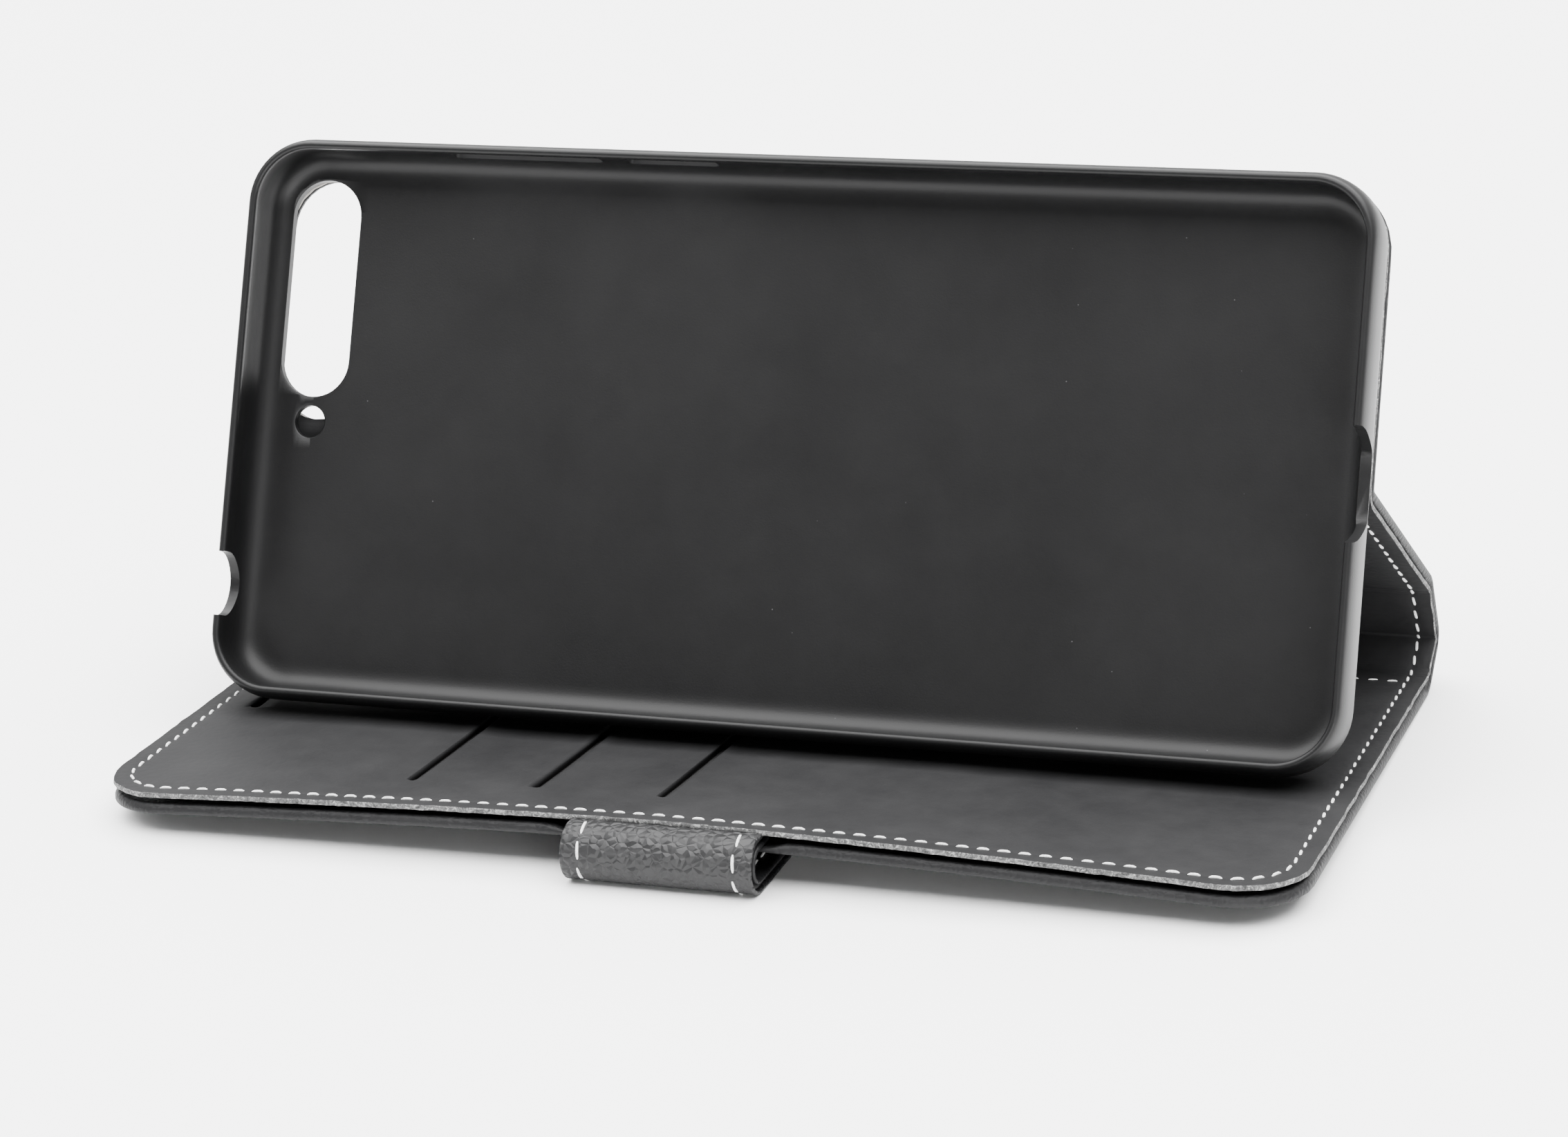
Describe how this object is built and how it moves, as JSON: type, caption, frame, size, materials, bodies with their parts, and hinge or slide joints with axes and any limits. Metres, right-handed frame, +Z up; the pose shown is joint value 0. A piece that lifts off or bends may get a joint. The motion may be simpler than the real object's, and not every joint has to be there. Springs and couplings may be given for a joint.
{
  "type": "phone wallet case",
  "caption": "Folding leather-look wallet case standing in landscape, with a moulded phone tray, card slots, a creased back that makes the stand and a magnetic strap.",
  "frame": {"origin": "on the table, under the middle of the whole case's box as it stands", "axes": "+X along the phone's long side, charging end positive; +Y away from the viewer, towards the spine; +Z up"},
  "size_m": [0.158, 0.0924, 0.0762],
  "materials": {
    "outer_leather": "black grained leather, satin",
    "lining_leather": "black smooth lining leather, matte",
    "strap_leather": "black pebbled leather, satin",
    "board": "grey stiffener board",
    "pocket_cloth": "thin black pocket cloth",
    "thread": "white twisted sewing thread",
    "tray_plastic": "black moulded plastic, fine matte",
    "tape": "adhesive foam tape",
    "steel": "plated steel disc"
  },
  "bodies": {
    "front_cover": {"front_outer_leather": "outer_leather", "front_board": "board", "front_lining": "lining_leather", "card_pocket_1": "pocket_cloth", "card_pocket_2": "pocket_cloth", "card_pocket_3": "pocket_cloth", "cash_pocket": "pocket_cloth", "front_seam_thread": "thread", "strap_anchor": "strap_leather"},
    "spine_front": {"spine_front_outer_leather": "outer_leather", "spine_front_board": "board", "spine_front_lining": "lining_leather", "spine_front_thread_left": "thread", "spine_front_thread_right": "thread", "fold_front_spine": "outer_leather"},
    "spine_back": {"spine_back_outer_leather": "outer_leather", "spine_back_board": "board", "spine_back_lining": "lining_leather", "spine_back_thread_left": "thread", "spine_back_thread_right": "thread", "fold_mid_spine": "outer_leather"},
    "stand_panel": {"stand_panel_outer_leather": "outer_leather", "stand_panel_board": "board", "stand_panel_lining": "lining_leather", "stand_panel_thread_left": "thread", "stand_panel_thread_right": "thread", "fold_spine_stand": "outer_leather"},
    "tray_panel": {"tray_panel_outer_leather": "outer_leather", "tray_panel_board": "board", "tray_panel_lining": "lining_leather", "tray_panel_seam_thread": "thread", "fold_crease": "outer_leather", "adhesive_pad": "tape", "magnet_keeper": "steel", "phone_tray": "tray_plastic"},
    "clasp_strap": {"strap_outer_leather": "strap_leather", "strap_lining": "lining_leather", "strap_filler": "board", "strap_magnet": "steel", "strap_bend": "strap_leather"}
  },
  "joints": [
    {"name": "cover_hinge", "type": "hinge", "parent": "front_cover", "child": "spine_front", "pos_m": [0, 0.03963, 0.00145], "axis": [1, 0, 0], "range_deg": [-128, 0], "deforming": ["fold_front_spine"]},
    {"name": "spine_fold", "type": "hinge", "parent": "spine_front", "child": "spine_back", "pos_m": [0, 0.04576, 0.00595], "axis": [1, 0, 0], "range_deg": [-81, 0], "deforming": ["fold_mid_spine"]},
    {"name": "back_fold", "type": "hinge", "parent": "spine_back", "child": "stand_panel", "pos_m": [0, 0.04113, 0.01493], "axis": [1, 0, 0], "range_deg": [-24.8, 0], "deforming": ["fold_spine_stand"]},
    {"name": "stand_crease", "type": "hinge", "parent": "stand_panel", "child": "tray_panel", "pos_m": [0, 0.01391, 0.03612], "axis": [1, 0, 0], "range_deg": [0, 75.3], "deforming": ["fold_crease"]},
    {"name": "strap_fold", "type": "hinge", "parent": "front_cover", "child": "clasp_strap", "pos_m": [0.0005, -0.04254, 0.0037], "axis": [-1, 0, 0], "range_deg": [0, 175], "deforming": ["strap_bend"]}
  ],
  "couplings": [
    {"joint": "spine_fold", "follows": "stand_crease", "ratio": -1.0757},
    {"joint": "back_fold", "follows": "stand_crease", "ratio": -0.32935}
  ]
}
